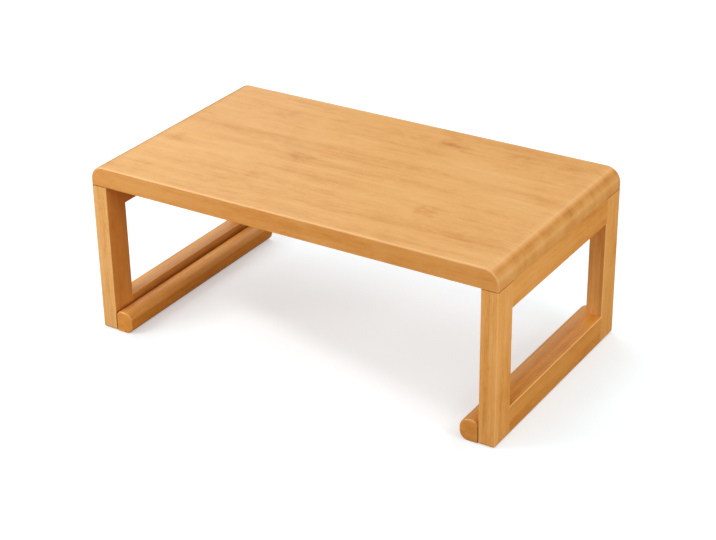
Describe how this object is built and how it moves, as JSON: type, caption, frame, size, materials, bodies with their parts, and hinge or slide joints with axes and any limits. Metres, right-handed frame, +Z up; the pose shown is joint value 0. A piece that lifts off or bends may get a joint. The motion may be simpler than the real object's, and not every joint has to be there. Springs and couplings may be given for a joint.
{
  "type": "folding low table",
  "caption": "Low rectangular bamboo table with rolled-over ends; its two window-frame legs, each with a foot bar on the floor, fold flat under the top on hidden hinges.",
  "frame": {"origin": "on the floor under the centre of the table", "axes": "+X along the table's length, +Y towards its back, +Z up"},
  "size_m": [0.6, 0.336, 0.2405],
  "materials": {
    "bamboo_top": "satin lacquered laminated bamboo, honey coloured, grain along the length",
    "bamboo_frame": "satin lacquered bamboo strips, grain along each post and rail",
    "bamboo_foot": "satin lacquered bamboo, rounded section",
    "bamboo_batten": "plain bamboo, lightly oiled",
    "dowel": "plain birch dowel",
    "hinge_steel": "zinc plated, lightly brushed",
    "pin_steel": "drawn steel",
    "screw_steel": "zinc plated",
    "strike_steel": "turned steel",
    "magnet": "nickel plated",
    "bumper": "matte soft rubber"
  },
  "bodies": {
    "top": {"tabletop": "bamboo_top", "batten_left": "bamboo_batten", "hinge_fixed_leaves_left": "hinge_steel", "hinge_pins_left": "pin_steel", "hinge_batten_screws_left": "screw_steel", "batten_right": "bamboo_batten", "hinge_fixed_leaves_right": "hinge_steel", "hinge_pins_right": "pin_steel", "hinge_batten_screws_right": "screw_steel", "batten_screws": "screw_steel", "catch_magnets": "magnet", "fold_bumpers": "bumper"},
    "leg_left": {"front_post_left": "bamboo_frame", "back_post_left": "bamboo_frame", "upper_rail_left": "bamboo_frame", "bottom_rail_left": "bamboo_frame", "foot_bar_left": "bamboo_foot", "frame_dowels_left": "dowel", "foot_bar_dowels_left": "dowel", "hinge_moving_leaves_left": "hinge_steel", "hinge_rail_screws_left": "screw_steel", "catch_strikes_left": "strike_steel"},
    "leg_right": {"front_post_right": "bamboo_frame", "back_post_right": "bamboo_frame", "upper_rail_right": "bamboo_frame", "bottom_rail_right": "bamboo_frame", "foot_bar_right": "bamboo_foot", "frame_dowels_right": "dowel", "foot_bar_dowels_right": "dowel", "hinge_moving_leaves_right": "hinge_steel", "hinge_rail_screws_right": "screw_steel", "catch_strikes_right": "strike_steel"}
  },
  "joints": [
    {"name": "fold_left", "type": "hinge", "parent": "top", "child": "leg_left", "pos_m": [-0.2727, 0, 0.189], "axis": [0, -1, 0], "range_deg": [0, 90]},
    {"name": "fold_right", "type": "hinge", "parent": "top", "child": "leg_right", "pos_m": [0.2727, 0, 0.189], "axis": [0, 1, 0], "range_deg": [0, 90]}
  ]
}
